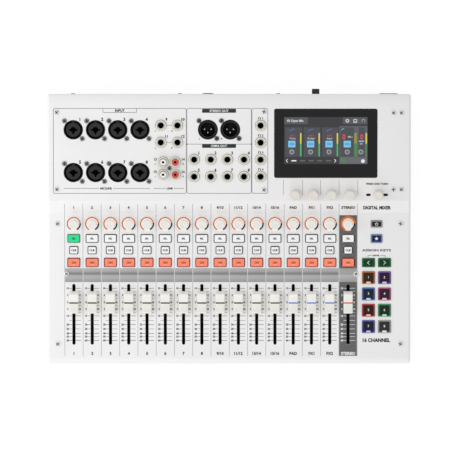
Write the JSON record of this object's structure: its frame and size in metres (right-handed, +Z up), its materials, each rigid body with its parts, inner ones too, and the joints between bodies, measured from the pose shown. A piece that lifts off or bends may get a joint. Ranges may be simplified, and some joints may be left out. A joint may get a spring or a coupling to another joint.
{
  "type": "mixing console",
  "caption": "Desktop digital mixing console with faders, encoder knobs with light rings, lit keys, a jack field on top and a touch screen.",
  "frame": {"origin": "centre of the bounding box in plan, on the table under the feet", "axes": "+X to the user's right along the strips, +Y to the rear, +Z up"},
  "size_m": [0.415, 0.3142, 0.091],
  "materials": {
    "case_steel": "matte",
    "white_paint": "satin",
    "rear_plate": "matte",
    "rubber": "matte",
    "screw_steel": "satin",
    "black_glass": "gloss",
    "display_frame": "matte",
    "socket_black": "satin",
    "socket_nickel": "satin",
    "phono_shell": "satin",
    "mechanism_steel": "satin",
    "light_guide": "frosted",
    "board_green": "satin",
    "key_white": "satin",
    "key_lit_orange": "lit from behind",
    "key_dark": "satin",
    "knob_ivory": "satin",
    "knob_white": "satin",
    "fader_cap": "satin",
    "button_black": "satin"
  },
  "bodies": {
    "console": {"bottom_case": "case_steel", "top_panel": "white_paint", "rear_panel": "rear_plate", "feet": "rubber", "screws": "screw_steel", "screen_glass": "black_glass", "display_module": "display_frame", "combo_jacks": "socket_black", "phone_jacks": "socket_nickel", "rca_jacks": "phono_shell", "xlr_outputs": "socket_black", "fader_units": "mechanism_steel", "encoder_units": "mechanism_steel", "light_guides": "light_guide", "circuit_boards": "board_green", "rear_connectors": "socket_black"},
    "fader_1": {"fader_1": "fader_cap"},
    "fader_2": {"fader_2": "fader_cap"},
    "fader_3": {"fader_3": "fader_cap"},
    "fader_4": {"fader_4": "fader_cap"},
    "fader_5": {"fader_5": "fader_cap"},
    "fader_6": {"fader_6": "fader_cap"},
    "fader_7": {"fader_7": "fader_cap"},
    "fader_8": {"fader_8": "fader_cap"},
    "fader_9": {"fader_9": "fader_cap"},
    "fader_10": {"fader_10": "fader_cap"},
    "fader_11": {"fader_11": "fader_cap"},
    "fader_12": {"fader_12": "fader_cap"},
    "fader_13": {"fader_13": "fader_cap"},
    "fader_14": {"fader_14": "fader_cap"},
    "fader_15": {"fader_15": "fader_cap"},
    "fader_16": {"fader_16": "fader_cap"},
    "channel_knob_1": {"channel_knob_1": "knob_white"},
    "channel_knob_2": {"channel_knob_2": "knob_white"},
    "channel_knob_3": {"channel_knob_3": "knob_white"},
    "channel_knob_4": {"channel_knob_4": "knob_white"},
    "channel_knob_5": {"channel_knob_5": "knob_white"},
    "channel_knob_6": {"channel_knob_6": "knob_white"},
    "channel_knob_7": {"channel_knob_7": "knob_white"},
    "channel_knob_8": {"channel_knob_8": "knob_white"},
    "channel_knob_9": {"channel_knob_9": "knob_white"},
    "channel_knob_10": {"channel_knob_10": "knob_white"},
    "channel_knob_11": {"channel_knob_11": "knob_white"},
    "channel_knob_12": {"channel_knob_12": "knob_white"},
    "channel_knob_13": {"channel_knob_13": "knob_white"},
    "channel_knob_14": {"channel_knob_14": "knob_white"},
    "channel_knob_15": {"channel_knob_15": "knob_white"},
    "channel_knob_16": {"channel_knob_16": "knob_white"},
    "screen_dial_1": {"screen_dial_1": "knob_ivory"},
    "screen_dial_2": {"screen_dial_2": "knob_ivory"},
    "screen_dial_3": {"screen_dial_3": "knob_ivory"},
    "screen_dial_4": {"screen_dial_4": "knob_ivory"},
    "touch_turn_dial": {"touch_turn_dial": "knob_ivory"},
    "sel_keys": {"sel_keys": "key_white"},
    "cue_keys": {"cue_keys": "key_white"},
    "on_keys": {"on_keys": "key_lit_orange"},
    "function_keys": {"function_keys": "key_dark"},
    "bank_keys": {"bank_keys": "key_dark"},
    "user_keys": {"user_keys": "key_dark"},
    "power_button": {"power_button": "button_black"}
  },
  "joints": [
    {"name": "fader_1_slide", "type": "slide", "parent": "console", "child": "fader_1", "axis": [0, 0.9925, 0.1219], "range_m": [-0.044, 0.016]},
    {"name": "fader_2_slide", "type": "slide", "parent": "console", "child": "fader_2", "axis": [0, 0.9925, 0.1219], "range_m": [-0.044, 0.016]},
    {"name": "fader_3_slide", "type": "slide", "parent": "console", "child": "fader_3", "axis": [0, 0.9925, 0.1219], "range_m": [-0.044, 0.016]},
    {"name": "fader_4_slide", "type": "slide", "parent": "console", "child": "fader_4", "axis": [0, 0.9925, 0.1219], "range_m": [-0.044, 0.016]},
    {"name": "fader_5_slide", "type": "slide", "parent": "console", "child": "fader_5", "axis": [0, 0.9925, 0.1219], "range_m": [-0.044, 0.016]},
    {"name": "fader_6_slide", "type": "slide", "parent": "console", "child": "fader_6", "axis": [0, 0.9925, 0.1219], "range_m": [-0.044, 0.016]},
    {"name": "fader_7_slide", "type": "slide", "parent": "console", "child": "fader_7", "axis": [0, 0.9925, 0.1219], "range_m": [-0.044, 0.016]},
    {"name": "fader_8_slide", "type": "slide", "parent": "console", "child": "fader_8", "axis": [0, 0.9925, 0.1219], "range_m": [-0.044, 0.016]},
    {"name": "fader_9_slide", "type": "slide", "parent": "console", "child": "fader_9", "axis": [0, 0.9925, 0.1219], "range_m": [-0.044, 0.016]},
    {"name": "fader_10_slide", "type": "slide", "parent": "console", "child": "fader_10", "axis": [0, 0.9925, 0.1219], "range_m": [-0.044, 0.016]},
    {"name": "fader_11_slide", "type": "slide", "parent": "console", "child": "fader_11", "axis": [0, 0.9925, 0.1219], "range_m": [-0.044, 0.016]},
    {"name": "fader_12_slide", "type": "slide", "parent": "console", "child": "fader_12", "axis": [0, 0.9925, 0.1219], "range_m": [-0.044, 0.016]},
    {"name": "fader_13_slide", "type": "slide", "parent": "console", "child": "fader_13", "axis": [0, 0.9925, 0.1219], "range_m": [-0.044, 0.016]},
    {"name": "fader_14_slide", "type": "slide", "parent": "console", "child": "fader_14", "axis": [0, 0.9925, 0.1219], "range_m": [-0.044, 0.016]},
    {"name": "fader_15_slide", "type": "slide", "parent": "console", "child": "fader_15", "axis": [0, 0.9925, 0.1219], "range_m": [-0.044, 0.016]},
    {"name": "fader_16_slide", "type": "slide", "parent": "console", "child": "fader_16", "axis": [0, 0.9925, 0.1219], "range_m": [-0.044, 0.016]},
    {"name": "channel_knob_1_turn", "type": "hinge", "parent": "console", "child": "channel_knob_1", "pos_m": [-0.17735, 0.0028, 0.06265], "axis": [0, -0.1219, 0.9925], "continuous": true},
    {"name": "channel_knob_2_turn", "type": "hinge", "parent": "console", "child": "channel_knob_2", "pos_m": [-0.15645, 0.0028, 0.06265], "axis": [0, -0.1219, 0.9925], "continuous": true},
    {"name": "channel_knob_3_turn", "type": "hinge", "parent": "console", "child": "channel_knob_3", "pos_m": [-0.13555, 0.0028, 0.06265], "axis": [0, -0.1219, 0.9925], "continuous": true},
    {"name": "channel_knob_4_turn", "type": "hinge", "parent": "console", "child": "channel_knob_4", "pos_m": [-0.11465, 0.0028, 0.06265], "axis": [0, -0.1219, 0.9925], "continuous": true},
    {"name": "channel_knob_5_turn", "type": "hinge", "parent": "console", "child": "channel_knob_5", "pos_m": [-0.09375, 0.0028, 0.06265], "axis": [0, -0.1219, 0.9925], "continuous": true},
    {"name": "channel_knob_6_turn", "type": "hinge", "parent": "console", "child": "channel_knob_6", "pos_m": [-0.07285, 0.0028, 0.06265], "axis": [0, -0.1219, 0.9925], "continuous": true},
    {"name": "channel_knob_7_turn", "type": "hinge", "parent": "console", "child": "channel_knob_7", "pos_m": [-0.05195, 0.0028, 0.06265], "axis": [0, -0.1219, 0.9925], "continuous": true},
    {"name": "channel_knob_8_turn", "type": "hinge", "parent": "console", "child": "channel_knob_8", "pos_m": [-0.03105, 0.0028, 0.06265], "axis": [0, -0.1219, 0.9925], "continuous": true},
    {"name": "channel_knob_9_turn", "type": "hinge", "parent": "console", "child": "channel_knob_9", "pos_m": [-0.01015, 0.0028, 0.06265], "axis": [0, -0.1219, 0.9925], "continuous": true},
    {"name": "channel_knob_10_turn", "type": "hinge", "parent": "console", "child": "channel_knob_10", "pos_m": [0.01075, 0.0028, 0.06265], "axis": [0, -0.1219, 0.9925], "continuous": true},
    {"name": "channel_knob_11_turn", "type": "hinge", "parent": "console", "child": "channel_knob_11", "pos_m": [0.03165, 0.0028, 0.06265], "axis": [0, -0.1219, 0.9925], "continuous": true},
    {"name": "channel_knob_12_turn", "type": "hinge", "parent": "console", "child": "channel_knob_12", "pos_m": [0.05255, 0.0028, 0.06265], "axis": [0, -0.1219, 0.9925], "continuous": true},
    {"name": "channel_knob_13_turn", "type": "hinge", "parent": "console", "child": "channel_knob_13", "pos_m": [0.07345, 0.0028, 0.06265], "axis": [0, -0.1219, 0.9925], "continuous": true},
    {"name": "channel_knob_14_turn", "type": "hinge", "parent": "console", "child": "channel_knob_14", "pos_m": [0.09435, 0.0028, 0.06265], "axis": [0, -0.1219, 0.9925], "continuous": true},
    {"name": "channel_knob_15_turn", "type": "hinge", "parent": "console", "child": "channel_knob_15", "pos_m": [0.11525, 0.0028, 0.06265], "axis": [0, -0.1219, 0.9925], "continuous": true},
    {"name": "channel_knob_16_turn", "type": "hinge", "parent": "console", "child": "channel_knob_16", "pos_m": [0.13615, 0.0028, 0.06265], "axis": [0, -0.1219, 0.9925], "continuous": true},
    {"name": "screen_dial_1_turn", "type": "hinge", "parent": "console", "child": "screen_dial_1", "pos_m": [0.0754, 0.0362, 0.07702], "axis": [0, -0.1219, 0.9925], "continuous": true},
    {"name": "screen_dial_2_turn", "type": "hinge", "parent": "console", "child": "screen_dial_2", "pos_m": [0.0962, 0.0362, 0.07702], "axis": [0, -0.1219, 0.9925], "continuous": true},
    {"name": "screen_dial_3_turn", "type": "hinge", "parent": "console", "child": "screen_dial_3", "pos_m": [0.117, 0.0362, 0.07702], "axis": [0, -0.1219, 0.9925], "continuous": true},
    {"name": "screen_dial_4_turn", "type": "hinge", "parent": "console", "child": "screen_dial_4", "pos_m": [0.1378, 0.0362, 0.07702], "axis": [0, -0.1219, 0.9925], "continuous": true},
    {"name": "touch_turn_dial_turn", "type": "hinge", "parent": "console", "child": "touch_turn_dial", "pos_m": [0.1702, 0.0362, 0.07702], "axis": [0, -0.1219, 0.9925], "continuous": true},
    {"name": "sel_keys_press", "type": "slide", "parent": "console", "child": "sel_keys", "axis": [0, -0.1219, 0.9925], "range_m": [-0.0008, 0], "stiffness_N_per_m": 500, "springref_m": 0.001},
    {"name": "cue_keys_press", "type": "slide", "parent": "console", "child": "cue_keys", "axis": [0, -0.1219, 0.9925], "range_m": [-0.0008, 0], "stiffness_N_per_m": 500, "springref_m": 0.001},
    {"name": "on_keys_press", "type": "slide", "parent": "console", "child": "on_keys", "axis": [0, -0.1219, 0.9925], "range_m": [-0.0008, 0], "stiffness_N_per_m": 500, "springref_m": 0.001},
    {"name": "function_keys_press", "type": "slide", "parent": "console", "child": "function_keys", "axis": [0, -0.1219, 0.9925], "range_m": [-0.0008, 0], "stiffness_N_per_m": 500, "springref_m": 0.001},
    {"name": "bank_keys_press", "type": "slide", "parent": "console", "child": "bank_keys", "axis": [0, -0.1219, 0.9925], "range_m": [-0.0008, 0], "stiffness_N_per_m": 500, "springref_m": 0.001},
    {"name": "user_keys_press", "type": "slide", "parent": "console", "child": "user_keys", "axis": [0, -0.1219, 0.9925], "range_m": [-0.0008, 0], "stiffness_N_per_m": 500, "springref_m": 0.001},
    {"name": "power_button_push", "type": "slide", "parent": "console", "child": "power_button", "axis": [0, 1, 0], "range_m": [-0.0025, 0], "stiffness_N_per_m": 400, "springref_m": 0.001}
  ]
}
